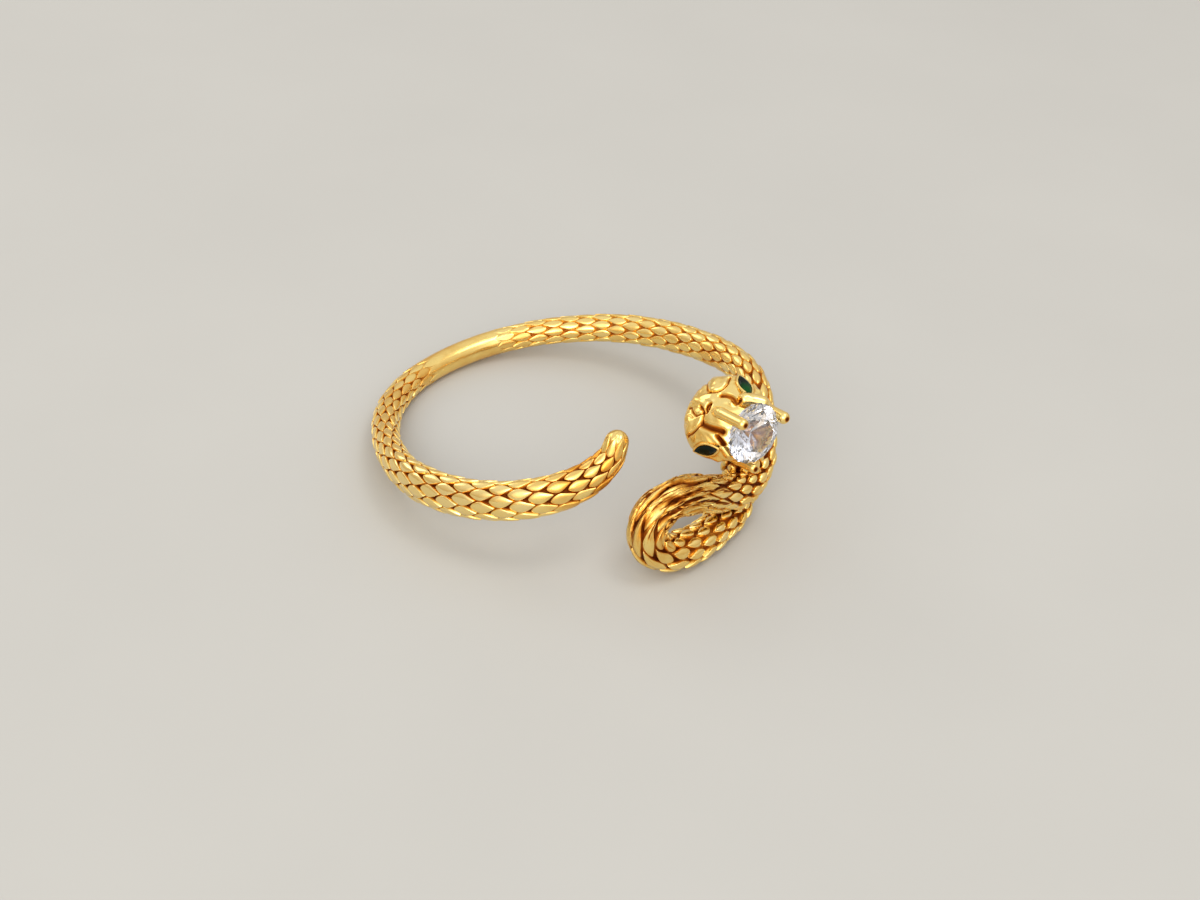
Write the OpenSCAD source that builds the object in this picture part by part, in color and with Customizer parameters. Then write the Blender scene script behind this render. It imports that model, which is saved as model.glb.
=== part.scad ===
// Open snake ring, lying on its side on a flat surface.
// The finger's axis is close to vertical and the ring's front faces the -Y side.

/* [Body] */
// Length of one scale along the body
scale_length = 1.95; // [1.75:0.05:2.2]
// Number of scales round the body
scales_round = 9; // [8:1:10]
// Height of the raised scales on the plain part of the band
scale_height = 0.07; // [0:0.01:0.1]

/* [Head] */
// Direction that the head faces, round the ring from its right side
head_heading = -58; // [-66:1:-50]
// Lean of the head about its own length
head_roll = 41.5; // [30:0.5:50]
// Distance of the point between the eyes from the finger's axis
head_reach = 11.2; // [10.8:0.1:11.8]
// Place of the head round the ring
head_angle = -46; // [-50:0.5:-42]
// Height of the head above the ring's plane
head_height = 2.45; // [2:0.05:3]

/* [Stones] */
// Diameter of the round stone
stone_d = 3; // [2.8:0.05:3.2]
// Distance of the stone's girdle in front of the eyes
stone_forward = 1.85; // [1.7:0.05:2.1]
// Distance of the stone's centre below the eyes
stone_drop = 0.4; // [0.2:0.05:0.6]
// Length of an eye stone
eye_length = 1.4; // [1.2:0.05:1.6]
// Width of an eye stone
eye_width = 0.56; // [0.5:0.02:0.8]
// Distance of an eye stone's middle from the head's middle
eye_out = 1.78; // [1.6:0.02:1.9]
// Clearance between a stone and the metal
stone_gap = 0.03; // [0.02:0.01:0.05]

/* [Prongs] */
// Diameter of the lower prong on the right
prong_d = 0.5; // [0.4:0.02:0.56]
// Diameter of the lower prong on the left
left_prong_d = 0.62; // [0.4:0.02:0.66]
// Diameter of the upper prong
upper_prong_d = 0.58; // [0.5:0.02:0.64]
// Distance of the two lower prongs' centres from the stone's axis
prong_reach = 1.6; // [1.55:0.01:1.75]
// Distance of the upper prong's centre from the stone's axis
upper_prong_reach = 1.52; // [1.45:0.01:1.65]
// Length of a lower prong in front of the stone's girdle
prong_over = 0.35; // [0.3:0.05:0.6]
// Length of the upper prong in front of the stone's girdle
upper_prong_over = 0.55; // [0.3:0.05:0.9]

/* [Rest] */
// Tilt of the ring's plane where the loop props it up
rest_tilt = 12.9; // [12:0.1:14]
// Direction round the ring of its highest side at rest
rest_heading = -42; // [-46:1:-38]
// Height of the ring's centre above the surface
rest_lift = 2.77; // [2.6:0.01:3]
// Distance of the ring's centre from the middle of its outer box, along X
rest_x = -0.6; // [-1:0.1:1]
// Distance of the ring's centre from the middle of its outer box, along Y
rest_y = 0.6; // [-1:0.1:1]

/* [Hidden] */

// Columns of the stations table
ANGLE = 0;     // round the finger's axis from the ring's right side
RADIUS = 1;    // from the finger's axis to the body's middle
HEIGHT = 2;    // above the ring's plane
THICK = 3;     // half thickness along the radius
WIDE = 4;      // half thickness across it
RELIEF = 5;    // height of the scales, as a share of scale_height

// The body's middle, from inside the head down the neck, round the loop and then round the finger
stations = [
  [-43.5, 10.45,  2.05, 0.85, 0.90, 0.0],
  [-38.0, 10.15,  1.45, 0.92, 0.98, 0.0],
  [-33.5, 10.30,  0.20, 0.96, 1.02, 0.5],
  [-31.5, 10.25, -1.20, 0.98, 1.06, 1.0],
  [-30.5, 10.00, -2.40, 0.94, 1.00, 1.3],
  [-31.0,  9.80, -3.50, 0.90, 0.92, 1.5],
  [-36.0,  9.80, -4.15, 0.88, 0.88, 1.5],
  [-43.0,  9.90, -4.20, 0.90, 0.86, 1.5],
  [-50.0, 10.00, -4.20, 0.93, 0.86, 1.5],
  [-58.0, 10.10, -4.15, 0.96, 0.90, 1.5],
  [-65.5, 10.20, -3.85, 1.00, 0.94, 1.5],
  [-70.3, 10.30, -2.95, 1.00, 0.96, 1.5],
  [-70.0, 10.30, -1.95, 1.00, 0.95, 1.5],
  [-66.0, 10.20, -1.30, 1.00, 0.94, 1.5],
  [-60.0, 10.20, -1.15, 1.00, 0.94, 1.5],
  [-53.0, 10.20, -1.50, 0.97, 0.94, 1.5],
  [-46.0, 10.30, -2.10, 0.93, 0.90, 1.5],
  [-39.0, 10.40, -2.60, 0.90, 0.86, 1.5],
  [-31.0, 10.50, -2.70, 0.88, 0.84, 1.4],
  [-23.0, 10.55, -2.20, 0.82, 0.86, 1.3],
  [-15.0, 10.40, -1.30, 0.76, 0.88, 1.2],
  [ -6.0, 10.25, -0.50, 0.74, 0.90, 1.1],
  [  4.0, 10.00, -0.10, 0.73, 0.89, 1.0],
  [ 15.0,  9.65,  0.00, 0.72, 0.87, 1.0],
  [ 30.0,  9.25,  0.00, 0.72, 0.85, 1.0],
  [ 45.0,  9.05,  0.00, 0.72, 0.83, 1.0],
  [ 60.0,  9.00,  0.00, 0.72, 0.80, 1.0],
  [ 80.0,  9.05,  0.00, 0.72, 0.74, 1.0],
  [100.0,  9.20,  0.00, 0.72, 0.70, 0.8],
  [112.0,  9.30,  0.00, 0.71, 0.69, 0.0],
  [124.0,  9.37,  0.00, 0.70, 0.68, 0.0],
  [135.0,  9.42,  0.00, 0.70, 0.67, 0.0],
  [147.0,  9.45,  0.00, 0.71, 0.67, 0.5],
  [160.0,  9.35,  0.00, 0.72, 0.69, 1.0],
  [180.0,  9.13,  0.00, 0.72, 0.84, 1.0],
  [195.0,  9.07,  0.00, 0.72, 0.99, 1.0],
  [210.0,  9.20,  0.00, 0.72, 1.06, 1.0],
  [225.0,  9.30,  0.00, 0.72, 1.06, 1.0],
  [240.0,  9.33,  0.00, 0.72, 1.03, 1.0],
  [252.0,  9.30,  0.05, 0.72, 1.02, 1.0],
  [262.0,  9.25,  0.20, 0.72, 0.99, 1.0],
  [270.0,  9.15,  0.42, 0.72, 0.93, 1.0],
  [278.0,  9.00,  0.80, 0.70, 0.82, 1.0],
  [284.3,  8.88,  1.45, 0.64, 0.68, 0.6],
  [287.0,  8.85,  2.15, 0.57, 0.59, 0.0],
];

// A smooth curve through the rows of a table, at a real row number
last_row = len(stations) - 1;
function row(i) = stations[max(0, min(last_row, i))];
function blend(a, b, c, d, t) =
  0.5 * (2 * b + (c - a) * t + (2 * a - 5 * b + 4 * c - d) * t * t + (3 * b - a - 3 * c + d) * t * t * t);
function station(x) =
  let (i = min(last_row - 1, floor(x)))
  blend(row(i - 1), row(i), row(i + 1), row(i + 2), x - i);
function place(s) = [s[RADIUS] * cos(s[ANGLE]), s[RADIUS] * sin(s[ANGLE]), s[HEIGHT]];

// The length along the body at each fine step of the table
fine = 8;
fine_points = [for (k = [0 : last_row * fine]) place(station(k / fine))];
steps = [for (k = [1 : len(fine_points) - 1]) norm(fine_points[k] - fine_points[k - 1])];
lengths = [for (k = 0, sum = 0; k <= len(steps); sum = sum + (k < len(steps) ? steps[k] : 0), k = k + 1) sum];
body_length = lengths[len(lengths) - 1];
row_at_length = [for (k = [0 : len(lengths) - 1]) [lengths[k], k / fine]];

// Rings of the body's skin, four to a scale, with each ring's own axes
rings_per_scale = 4;
columns = 2 * scales_round;
ring_count = round(body_length / scale_length * rings_per_scale);
ring_step = body_length / ring_count;
function ring_station(i) = station(lookup(i * ring_step, row_at_length));
centres = [for (i = [0 : ring_count]) place(ring_station(i))];
function unit(v) = v / norm(v);
function along(i) = unit(centres[min(ring_count, i + 1)] - centres[max(0, i - 1)]);
function outward(i) =
  let (c = centres[i], r = unit([c.x, c.y, 0]), t = along(i))
  unit(r - (r * t) * t);

// A scale is full at its middle, eases towards its ends and leaves a deep gap before the next one
scale_profile = [0, -0.45, -2, -0.45];
function relief(i, j) = scale_profile[(i + 2 * (j % 2)) % rings_per_scale];

tip_rings = 3;
function tip_turn(i) = max(0, i - ring_count) * 90 / (tip_rings + 0.5);
function ring(i) =
  let (
    k = min(i, ring_count),
    s = ring_station(k),
    t = along(k),
    n = outward(k),
    b = cross(t, n),
    c = centres[k] + t * s[THICK] * sin(tip_turn(i)),
    shrink = cos(tip_turn(i))
  )
  [for (j = [0 : columns - 1])
    let (
      turn = 360 * j / columns,
      lift = i > ring_count ? 0 : relief(i, j) * scale_height * s[RELIEF]
    )
    c + n * cos(turn) * (s[THICK] * shrink + lift) + b * sin(turn) * (s[WIDE] * shrink + lift)];

skin_rings = ring_count + tip_rings;

// The loop crosses itself, so the body is built as two stretches that meet at the loop's far end
far_row = 11;
far_ring = round(lengths[far_row * fine] / ring_step);

// Faces of a closed tube made of rings of points
function tube_faces(rings, sides) = concat(
  [[for (j = [0 : sides - 1]) j]],
  [for (i = [0 : rings - 2], j = [0 : sides - 1])
    let (a = i * sides + j, b = i * sides + (j + 1) % sides)
    [a, a + sides, b + sides, b]],
  [[for (j = [sides - 1 : -1 : 0]) (rings - 1) * sides + j]]
);

module stretch(first, last) {
  polyhedron(
    points = [for (i = [first : last]) each ring(i)],
    faces = tube_faces(last - first + 1, columns)
  );
}

module body_skin() {
  stretch(0, far_ring);
  stretch(far_ring, skin_rings);
}

// The head's own frame: +X forwards out of the snout, +Y to the snake's left, +Z out of the crown
module on_head() {
  translate([head_reach * cos(head_angle), head_reach * sin(head_angle), head_height])
    rotate([0, 0, head_heading])
      rotate([head_roll, 0, 0])
        children();
}

module on_stone() {
  on_head()
    translate([stone_forward, 0, -stone_drop])
      rotate([0, 90, 0])
        children();
}

// Place of an eye stone in the head's frame, its lean outwards and its turn towards the snout
eye_forward = 0.36;
eye_rise = 0.22;
eye_turn = 58;
eye_toe = 25;

// Columns of the head's table
FORWARD = 0;   // in front of the eyes
HALF = 1;      // half width
MID = 2;       // height of the widest line
TOP = 3;       // height of the top above that line
BOTTOM = 4;    // depth of the bottom below it

head_rows = [
  [-1.90, 0.45,  0.28, 0.20, 0.50],
  [-1.78, 0.95,  0.20, 0.48, 0.90],
  [-1.45, 1.50,  0.08, 0.78, 1.10],
  [-0.95, 1.92, -0.05, 0.98, 1.10],
  [-0.40, 2.12, -0.18, 1.10, 1.00],
  [ 0.15, 2.06, -0.30, 1.10, 0.92],
  [ 0.60, 1.90, -0.40, 1.00, 0.88],
  [ 1.00, 1.78, -0.48, 0.82, 0.82],
  [ 1.35, 1.52, -0.52, 0.56, 0.72],
];
head_points_round = 24;
// 1 gives an oval section, and less a squarer one
boxiness = 0.92;
function signed_power(v, p) = sign(v) * pow(abs(v), p);
function head_ring(r) = [
  for (j = [0 : head_points_round - 1])
    let (
      turn = 360 * j / head_points_round,
      up = signed_power(sin(turn), boxiness)
    )
    [r[FORWARD], r[HALF] * signed_power(cos(turn), boxiness), r[MID] + up * (up > 0 ? r[TOP] : r[BOTTOM])]
];
module skull() {
  polyhedron(
    points = [for (r = head_rows) each head_ring(r)],
    faces = tube_faces(len(head_rows), head_points_round)
  );
}

// A rounded bar between two points, thicker or thinner at its far end
module bar(from, to, d1, d2 = 0) {
  hull() {
    translate(from) sphere(d = d1, $fn = 12);
    translate(to) sphere(d = d2 > 0 ? d2 : d1, $fn = 12);
  }
}

module one_side() {
  // Brow over the eye
  bar([-0.55, 1.52, 0.52], [0.75, 1.18, 0.38], 0.42, 0.34);
  // Lip under the eye, down to the corner of the mouth
  bar([-0.70, 1.88, -0.30], [0.70, 1.78, -0.42], 0.50, 0.46);
  bar([0.45, 1.42, -0.12], [1.20, 1.48, -0.60], 0.40, 0.36);
  // Edge of the nostril
  bar([0.80, 0.80, 0.26], [1.15, 0.98, 0.00], 0.40, 0.38);
  // Two plates at the back of the crown
  bar([-1.40, 0.62, 0.52], [-0.90, 0.70, 0.72], 0.66, 0.56);
  bar([-1.30, 1.22, 0.22], [-0.80, 1.40, 0.38], 0.52, 0.46);
}

// Height of the upper prong's centre in the head's frame
upper_prong_rise = upper_prong_reach - stone_drop;

module crown() {
  bar([-1.25, 0, 0.62], [-0.45, 0, 0.74], 0.70, 0.58);
  bar([-0.30, 0, 0.60], [1.15, 0, 0.18], 0.85, 0.60);
  // Base that the upper prong grows from
  bar([0.45, 0, upper_prong_rise - 0.05], [0.80, 0, upper_prong_rise - 0.05], 0.78, 0.66);
}

// Thick lip in front of the left eye, which the right side lacks
module left_lip() {
  bar([0.98, 1.15, 0.38], [1.44, 1.44, -0.26], 0.72, 0.76);
}

// Groove beside the snout and nostril
right_nostril = [1.04, 1.08, 0.16];
left_nostril = [0.80, 0.92, 0.60];
module side_hollows(nostril) {
  bar([0.05, 0.88, 0.78], [0.70, 0.84, 0.52], 0.24, 0.20);
  translate(nostril) sphere(d = 0.34, $fn = 12);
}

// Small hole behind the upper prong's base
module crown_hollow() {
  translate([-0.26, 0, 0.98]) sphere(d = 0.38, $fn = 12);
}

// An eye's own frame: +Z out of the eye, +X along it towards the snout
module on_eye(side) {
  translate([eye_forward, side * eye_out, eye_rise])
    rotate([side * -eye_turn, 0, side * -eye_toe])
      children();
}

// Marquise stone: two arcs in outline, with a keel, a girdle, a crown and a table
points_on_arc = 8;
// Share of the outline and height at the keel, the girdle's two edges and the table
eye_rows = [
  [0.35, -0.30],
  [1.00, -0.04],
  [1.00,  0.04],
  [0.62,  0.14],
];
module marquise(extra = 0) {
  last = len(eye_rows) - 1;
  function outline(share) = [for (j = [0 : 2 * points_on_arc - 1])
    let (
      side = j < points_on_arc ? 1 : -1,
      x = cos(180 * j / points_on_arc)
    )
    [(eye_length / 2 * share + extra) * x, side * (eye_width / 2 * share + extra) * (1 - x * x)]];
  function height(i) = eye_rows[i][1] + (i == 0 ? -extra : i == last ? extra : 0);
  polyhedron(
    points = [for (i = [0 : last], p = outline(eye_rows[i][0])) [p.x, p.y, height(i)]],
    faces = tube_faces(len(eye_rows), 2 * points_on_arc)
  );
}

// Round stone with its culet, girdle, crown facets and table, as shares of its radius, table towards +Z
stone_facets = 16;
crown_row = 3;
stone_rows = [
  [0.10, -0.86],
  [1.00, -0.03],
  [1.00,  0.03],
  [0.80,  0.20],
  [0.54,  0.34],
];
module round_stone(extra = 0) {
  r = stone_d / 2 + extra;
  polyhedron(
    points = [for (i = [0 : len(stone_rows) - 1], j = [0 : stone_facets - 1])
      let (turn = 360 / stone_facets * (j + (i == crown_row ? 0.5 : 0)))
      r * [stone_rows[i][0] * cos(turn), stone_rows[i][0] * sin(turn), stone_rows[i][1]]],
    faces = tube_faces(len(stone_rows), stone_facets)
  );
}

module prong(turn, reach, over, back, d) {
  rotate([0, 0, turn])
    hull() {
      translate([reach, 0, over]) sphere(d = d, $fn = 16);
      translate([reach, 0, -back]) sphere(d = d, $fn = 16);
    }
}

module head() {
  on_head() {
    skull();
    one_side();
    mirror([0, 1, 0]) one_side();
    crown();
    left_lip();
  }
  on_stone() {
    prong(180, upper_prong_reach, upper_prong_over, 1.1, upper_prong_d);
    prong(60, prong_reach, prong_over, 1.1, left_prong_d);
    prong(300, prong_reach, prong_over, 1.1, prong_d);
  }
}

module at_rest() {
  translate([rest_x, rest_y, rest_lift])
    rotate(rest_tilt, [sin(rest_heading), -cos(rest_heading), 0])
      children();
}

module snake_casting() {
  color("goldenrod")
    at_rest()
      difference() {
        union() {
          body_skin();
          head();
        }
        on_stone() round_stone(stone_gap);
        on_head() {
          side_hollows(left_nostril);
          mirror([0, 1, 0]) side_hollows(right_nostril);
          crown_hollow();
          for (side = [-1, 1])
            on_eye(side) marquise(stone_gap);
        }
      }
}

module clear_stone() {
  color("white")
    at_rest()
      on_stone()
        round_stone();
}

module eye_stone(side) {
  color("darkgreen")
    at_rest()
      on_head()
        on_eye(side)
          marquise();
}

module left_eye_stone() {
  eye_stone(1);
}

module right_eye_stone() {
  eye_stone(-1);
}

snake_casting();
clear_stone();
left_eye_stone();
right_eye_stone();
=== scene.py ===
import math

import bpy
import numpy as np
from mathutils import Matrix, Quaternion, Vector


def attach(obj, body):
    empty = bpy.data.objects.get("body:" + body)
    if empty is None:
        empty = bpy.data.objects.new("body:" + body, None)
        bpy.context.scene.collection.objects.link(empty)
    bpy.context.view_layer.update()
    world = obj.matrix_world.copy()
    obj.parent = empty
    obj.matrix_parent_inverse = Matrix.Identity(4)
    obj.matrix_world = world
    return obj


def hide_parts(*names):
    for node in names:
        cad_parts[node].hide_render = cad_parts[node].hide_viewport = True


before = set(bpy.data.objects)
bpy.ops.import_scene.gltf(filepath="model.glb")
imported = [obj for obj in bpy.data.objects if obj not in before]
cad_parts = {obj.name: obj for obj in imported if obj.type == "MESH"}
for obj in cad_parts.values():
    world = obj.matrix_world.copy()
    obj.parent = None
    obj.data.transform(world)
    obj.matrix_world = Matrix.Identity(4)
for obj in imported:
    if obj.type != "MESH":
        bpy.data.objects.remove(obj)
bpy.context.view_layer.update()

mm = 0.001

# Where the ring lies: the ring's own frame has the finger's axis along Z, in millimetres
restPose = {"tilt": 12.9, "heading": -42.0, "x": -0.6, "y": 0.6, "lift": 2.77}

# The head's own frame: X forwards out of the snout, Y to the snake's left, Z out of the crown
headPlace = {"angle": -46.0, "reach": 11.2, "height": 2.45, "heading": -58.0, "roll": 41.5}


def ringToRow(pose):
    heading = math.radians(pose["heading"])
    axis = Vector((math.sin(heading), -math.cos(heading), 0))
    lie = Matrix.Translation((pose["x"], pose["y"], pose["lift"])) @ Matrix.Rotation(
        math.radians(pose["tilt"]), 4, axis)
    return Matrix.Diagonal((mm, mm, mm, 1)) @ lie


def headToRing(head):
    angle = math.radians(head["angle"])
    seat = Vector((head["reach"] * math.cos(angle), head["reach"] * math.sin(angle), head["height"]))
    turn = Matrix.Rotation(math.radians(head["heading"]), 4, "Z")
    lean = Matrix.Rotation(math.radians(head["roll"]), 4, "X")
    return Matrix.Translation(seat) @ turn @ lean


ringFrame = ringToRow(restPose)
headFrame = ringFrame @ headToRing(headPlace)


def deselectAll():
    if bpy.context.object and bpy.context.object.mode != "OBJECT":
        bpy.ops.object.mode_set(mode="OBJECT")
    bpy.ops.object.select_all(action="DESELECT")


def activate(piece):
    deselectAll()
    piece.select_set(True)
    bpy.context.view_layer.objects.active = piece


def applyModifiers(piece):
    activate(piece)
    for modifier in list(piece.modifiers):
        bpy.ops.object.modifier_apply(modifier=modifier.name)


def joinPieces(pieces, name):
    activate(pieces[0])
    for piece in pieces[1:]:
        piece.select_set(True)
    bpy.ops.object.join()
    joined = bpy.context.object
    joined.name = name
    joined.data.name = name
    return joined


def readPoints(piece):
    points = np.empty(len(piece.data.vertices) * 3)
    piece.data.vertices.foreach_get("co", points)
    return points.reshape(-1, 3)


def writePoints(piece, points):
    piece.data.vertices.foreach_set("co", np.ascontiguousarray(points, dtype=float).ravel())
    piece.data.update()


def paint(piece, name, values):
    layer = piece.data.attributes.new(name, "FLOAT", "POINT")
    layer.data.foreach_set("value", np.clip(values, 0, 1).astype(np.float32))


def weld(piece, distance):
    activate(piece)
    bpy.ops.object.mode_set(mode="EDIT")
    bpy.ops.mesh.select_all(action="SELECT")
    bpy.ops.mesh.remove_doubles(threshold=distance)
    bpy.ops.mesh.dissolve_degenerate(threshold=distance / 10)
    bpy.ops.mesh.select_all(action="SELECT")
    bpy.ops.mesh.normals_make_consistent(inside=False)
    bpy.ops.object.mode_set(mode="OBJECT")


def addObject(name, data):
    piece = bpy.data.objects.new(name, data)
    bpy.context.scene.collection.objects.link(piece)
    return piece


def seatPiece(piece, matrix, material, slotName, *nodes):
    piece.data.transform(matrix)
    piece.data.materials.clear()
    piece.data.materials.append(material)
    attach(piece, "root")
    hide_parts(*nodes)


# Materials

goldLook = {
    # how far the metal is painted darker, by painted shade and dark patina in its hollows, painted shade on
    # whole stretches and random patches, and its colour there
    "tones": (
        (0.0, (1.0, 0.775, 0.33)),
        (0.14, (1.0, 0.73, 0.24)),
        (0.42, (0.78, 0.37, 0.05)),
        (0.70, (0.34, 0.092, 0.010)),
        (1.0, (0.12, 0.024, 0.003)),
    ),
    # the metal grows rougher where it is painted darker, up to dullAt
    "roughness": (0.15, 0.50),  # of clean metal, and of metal that has darkened by "dullAt"
    "dullAt": 0.8,
    "patchSize": 700,           # of the slow patches
    "patchLevels": (0.3, 0.7),
    "patchStain": (-0.06, 0.10),    # how far they lighten and darken the metal
    "grainSize": 14000,
    "grainHeight": 0.12,
    "grainDepth": 0.000008,     # m
    "pitSize": 7000,
    "pitHeight": 1.5,           # of the pits in the crevices, against the grain's
    "foldSize": 6.5,            # of the rough folds along the loop, on the body's own attribute
    # the folds' creases are painted darker between these levels, as painted shade
    "foldLevels": (0.44, 0.34),     # levels of a fold between which it darkens
    # how dark the painted shade in the folds' creases gets
    "foldShade": 1.0,
    "foldHeight": 0.000130,     # m
}


def newMaterial(name):
    material = bpy.data.materials.new(name)
    material.use_nodes = True
    return material, material.node_tree, material.node_tree.nodes["Principled BSDF"]


def addNode(tree, kind, place, **values):
    node = tree.nodes.new(kind)
    node.location = place
    for key, value in values.items():
        node.inputs[key].default_value = value
    return node


def addAttribute(tree, place, name, output="Fac"):
    node = addNode(tree, "ShaderNodeAttribute", place)
    node.attribute_name = name
    return node.outputs[output]


def addNoise(tree, place, where, **values):
    node = addNode(tree, "ShaderNodeTexNoise", place, **values)
    tree.links.new(where, node.inputs["Vector"])
    return node.outputs["Fac"]


def addMath(tree, place, operation, *values):
    # Each value is a number or the output of another node
    node = addNode(tree, "ShaderNodeMath", place)
    node.operation = operation
    for socket, value in zip(node.inputs, values):
        if isinstance(value, float):
            socket.default_value = value
        else:
            tree.links.new(value, socket)
    return node.outputs["Value"]


def addRange(tree, place, value, taken, given):
    node = addNode(tree, "ShaderNodeMapRange", place, **{
        "From Min": taken[0], "From Max": taken[1], "To Min": given[0], "To Max": given[1]})
    tree.links.new(value, node.inputs["Value"])
    return node.outputs["Result"]


def addRamp(tree, place, value, tones):
    node = addNode(tree, "ShaderNodeValToRGB", place)
    stops = node.color_ramp.elements
    for stop, (position, colour) in zip(stops, (tones[0], tones[-1])):
        stop.position = position
        stop.color = (*colour, 1)
    for position, colour in tones[1:-1]:
        stops.new(position).color = (*colour, 1)
    tree.links.new(value, node.inputs["Fac"])
    return node.outputs["Color"]


def makeGold(look):
    material, tree, shader = newMaterial("platedGold")
    shader.inputs["Metallic"].default_value = 1.0
    where = addNode(tree, "ShaderNodeTexCoord", (-1300, -200)).outputs["Object"]
    skin = addAttribute(tree, (-1300, 600), "skin", "Vector")
    # painted shade and dark patina in the hollows, with painted shade on whole stretches
    shadeAndPatina = addAttribute(tree, (-900, 200), "shadeAndPatina")
    ridges = addAttribute(tree, (-1100, 750), "ridges")
    patches = addNoise(tree, (-1100, -100), where, Scale=look["patchSize"], Detail=3, Roughness=0.6)
    grain = addNoise(tree, (-1100, -400), where, Scale=look["grainSize"], Detail=3)
    pits = addNoise(tree, (-1100, -650), where, Scale=look["pitSize"], Detail=2)
    folds = addNoise(tree, (-1100, 600), skin, Scale=look["foldSize"], Detail=3, Roughness=0.55)

    # how far the metal is painted darker, by painted shade and dark patina in its hollows and folds,
    # painted shade on whole stretches and random patches, which gives its colour and its roughness
    patchStain = addRange(tree, (-900, -50), patches, look["patchLevels"], look["patchStain"])
    # painted shade in the creases of the loop's folds
    foldDepth = addRange(tree, (-900, 600), folds, look["foldLevels"], (0.0, look["foldShade"]))
    foldShade = addMath(tree, (-800, 450), "MULTIPLY_ADD", foldDepth, ridges, shadeAndPatina)
    stainAndShade = addMath(tree, (-700, 100), "ADD", foldShade, patchStain)
    stainAndShade.node.use_clamp = True
    colour = addRamp(tree, (-500, 200), stainAndShade, look["tones"])
    roughness = addRange(tree, (-500, -150), stainAndShade, (0.0, look["dullAt"]), look["roughness"])
    tree.links.new(colour, shader.inputs["Base Color"])
    tree.links.new(roughness, shader.inputs["Roughness"])

    # fine relief: the cast grain, deeper pits in the crevices, and the loop's folds under both
    sunk = addMath(tree, (-800, -600), "MULTIPLY", pits, shadeAndPatina)
    pitShare = look["pitHeight"] / look["grainHeight"]
    relief = addMath(tree, (-550, -500), "MULTIPLY_ADD", sunk, pitShare, grain)
    foldRelief = addMath(tree, (-550, -800), "MULTIPLY", folds, ridges)
    creases = addNode(tree, "ShaderNodeBump", (-300, -700), Strength=1.0, Distance=look["foldHeight"])
    bump = addNode(tree, "ShaderNodeBump", (-300, -400), Strength=look["grainHeight"],
                   Distance=look["grainDepth"])
    tree.links.new(foldRelief, creases.inputs["Height"])
    tree.links.new(relief, bump.inputs["Height"])
    tree.links.new(creases.outputs["Normal"], bump.inputs["Normal"])
    tree.links.new(bump.outputs["Normal"], shader.inputs["Normal"])
    return material


clearLook = {"tint": (0.79, 0.81, 0.88), "bend": 1.90, "clearness": 0.94, "polish": 0.035}


def makeClearStone(look):
    material, _, shader = newMaterial("clearCrystal")
    shader.inputs["Base Color"].default_value = (*look["tint"], 1)
    shader.inputs["Transmission Weight"].default_value = look["clearness"]
    shader.inputs["Roughness"].default_value = look["polish"]
    shader.inputs["IOR"].default_value = look["bend"]
    return material


greenLook = {
    # base colour from deep green to the painted light in the stone's heart
    "tones": ((0.15, (0.002, 0.006, 0.003)), (0.9, (0.008, 0.10, 0.018))),  # deep, and in the lit heart
    "bend": 1.45,
    "polish": 0.10,
    "shine": 0.16,
}


def makeGreenStone(look):
    material, tree, shader = newMaterial("greenCrystal")
    shader.inputs["Roughness"].default_value = look["polish"]
    shader.inputs["IOR"].default_value = look["bend"]
    shader.inputs["Specular IOR Level"].default_value = look["shine"]
    paintedGlow = addAttribute(tree, (-700, 100), "paintedGlow")
    tree.links.new(addRamp(tree, (-450, 100), paintedGlow, look["tones"]), shader.inputs["Base Color"])
    return material


gold = makeGold(goldLook)
clearCrystal = makeClearStone(clearLook)
greenCrystal = makeGreenStone(greenLook)
print("materials made")


# Body: a carpet of scales modelled flat, then wrapped round the snake's path

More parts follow.
